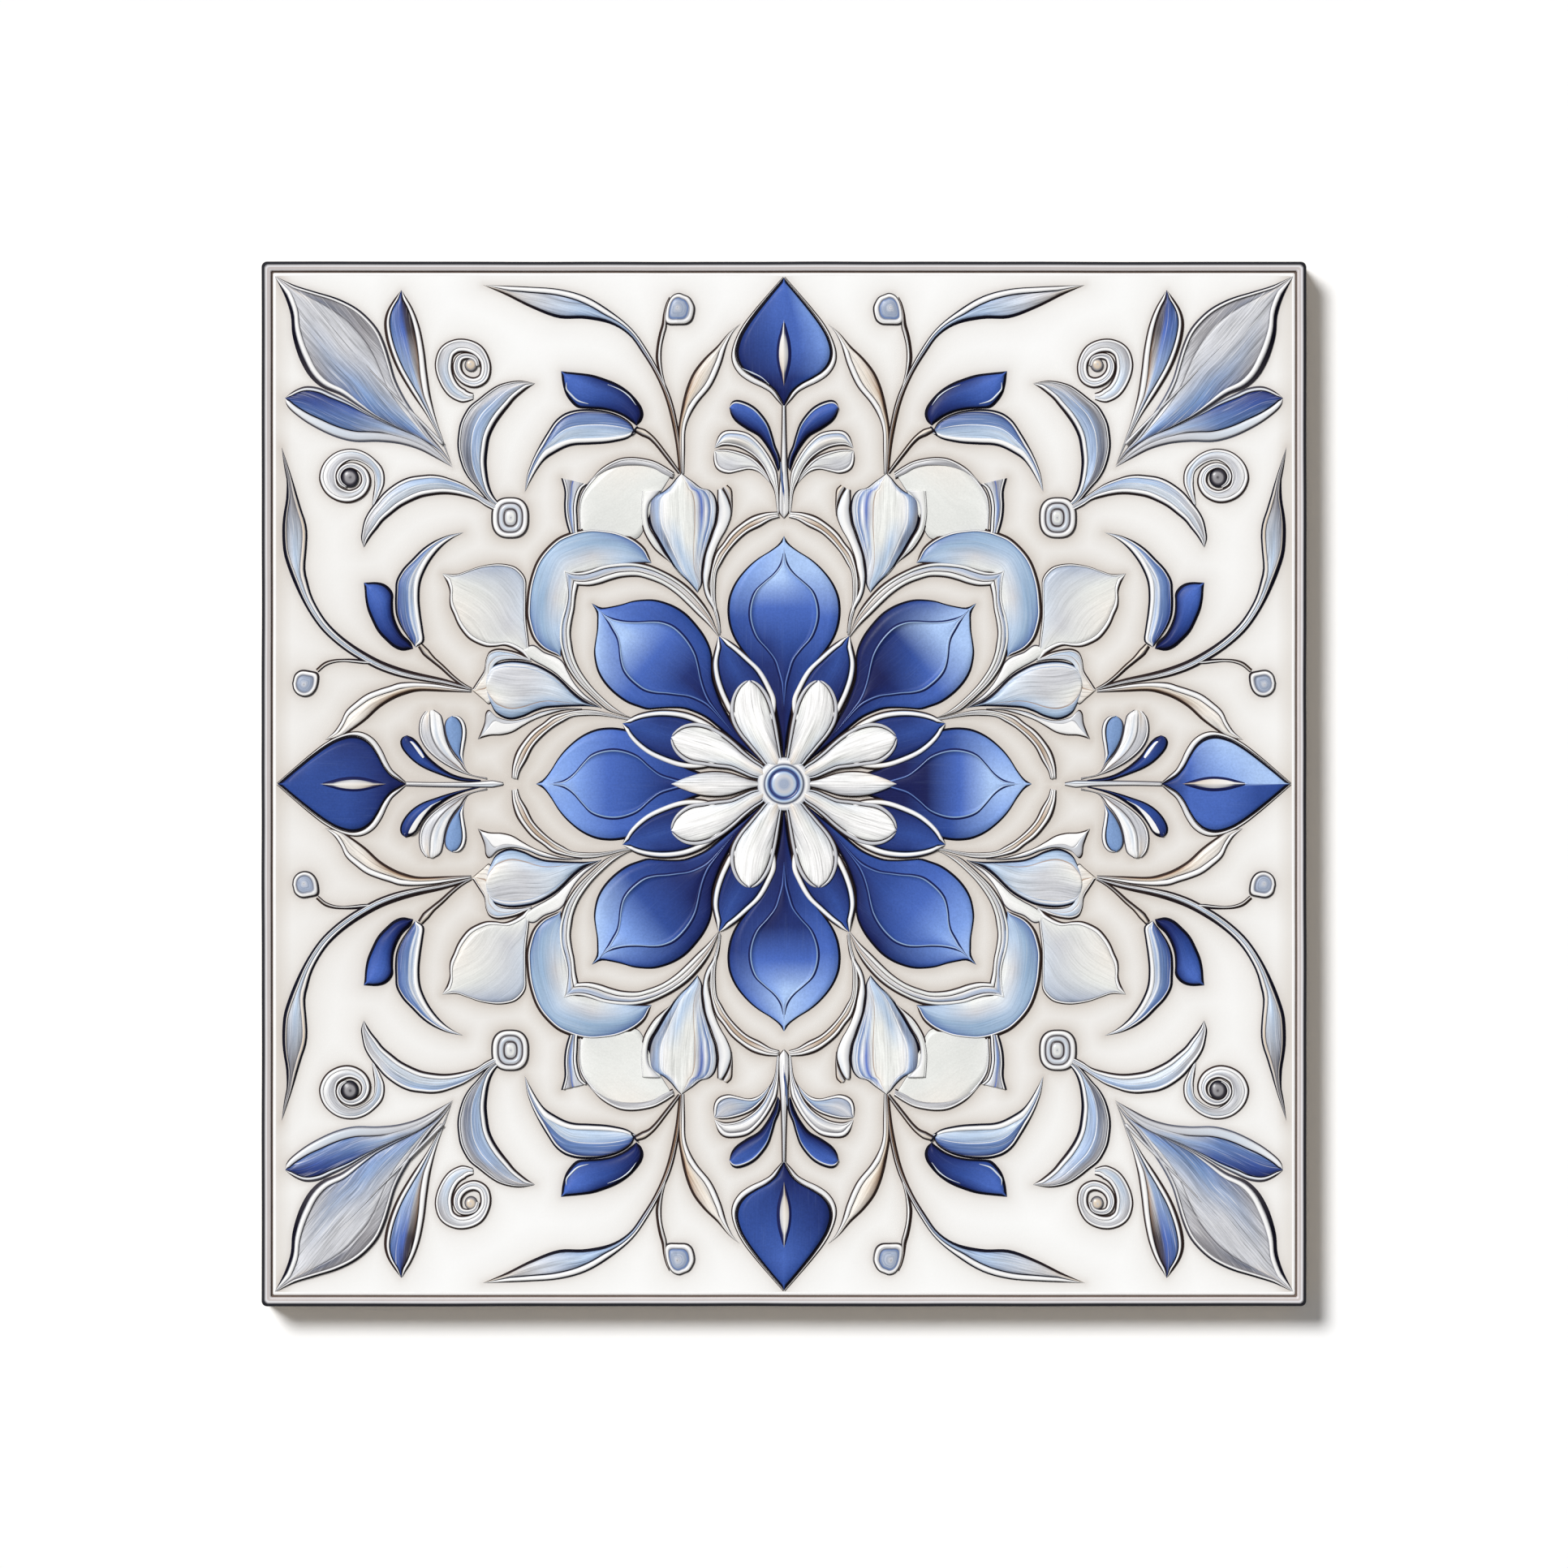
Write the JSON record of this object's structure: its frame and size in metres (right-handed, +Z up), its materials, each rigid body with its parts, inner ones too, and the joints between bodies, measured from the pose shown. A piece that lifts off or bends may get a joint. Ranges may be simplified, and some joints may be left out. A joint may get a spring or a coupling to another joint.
{
  "type": "azulejo tile",
  "caption": "Square glazed ceramic wall tile, pressed in one piece, with a raised blue and white flower rosette, leaves and scrolls inside a plain rim, and a keyed back.",
  "frame": {"origin": "middle of the tile's back, on the lands that it lies on", "axes": "+Z up out of the glazed face, +Y towards the pattern's top, +X to the right seen from above"},
  "size_m": [0.15, 0.15, 0.0092],
  "materials": {
    "glazed_tile": "gloss glaze"
  },
  "bodies": {
    "root": {"tile": "glazed_tile"}
  },
  "joints": []
}
